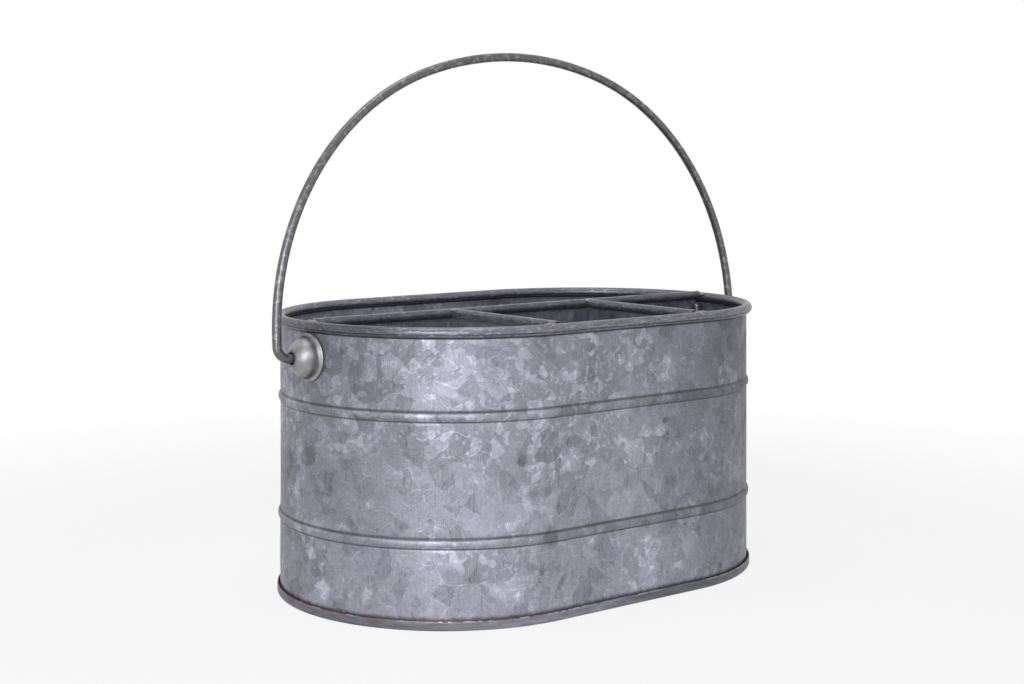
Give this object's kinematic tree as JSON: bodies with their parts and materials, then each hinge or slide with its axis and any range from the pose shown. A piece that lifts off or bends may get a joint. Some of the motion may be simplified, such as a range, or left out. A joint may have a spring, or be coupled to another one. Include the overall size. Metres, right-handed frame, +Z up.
{
  "type": "storage caddy",
  "caption": "Oval galvanised steel caddy with a wired rim, crimped base, soldered dividers that make one large bay and several small ones, and a swinging wire bail.",
  "frame": {"origin": "on the table under the middle of the base; the bail has slid 2.2 mm to +X in its slack, so the middle of the whole box is 2.2 mm from there", "axes": "+X along the length, from one ear to the other; +Y towards the large rear bay; +Z up"},
  "size_m": [0.3222, 0.1866, 0.2852],
  "materials": {
    "galvanised_wall": "galvanised, with an angular crystal pattern, weathered",
    "galvanised_base": "galvanised, weathered, with a little rust at the lip",
    "galvanised_divider": "galvanised, with an angular crystal pattern, weathered",
    "ear": "satin zinc, soldered on",
    "wire": "dark weathered zinc",
    "solder": "rough solder with rust and gold heat tints"
  },
  "bodies": {
    "body": {"body_wall": "galvanised_wall", "rim_wire": "wire", "base_pan": "galvanised_base", "long_divider": "galvanised_divider", "cross_divider_left": "galvanised_divider", "cross_divider_right": "galvanised_divider", "ear_left": "ear", "ear_right": "ear", "solder_end_left": "solder", "solder_end_right": "solder", "solder_joint_left": "solder", "solder_joint_right": "solder", "solder_front_left": "solder", "solder_front_right": "solder", "solder_ear_left": "solder", "solder_ear_right": "solder"},
    "bail": {"bail": "wire"}
  },
  "joints": [
    {"name": "bail_swing", "type": "hinge", "parent": "body", "child": "bail", "pos_m": [0, -0.003, 0.12805], "axis": [1, 0, 0], "range_deg": [0, 143]}
  ]
}
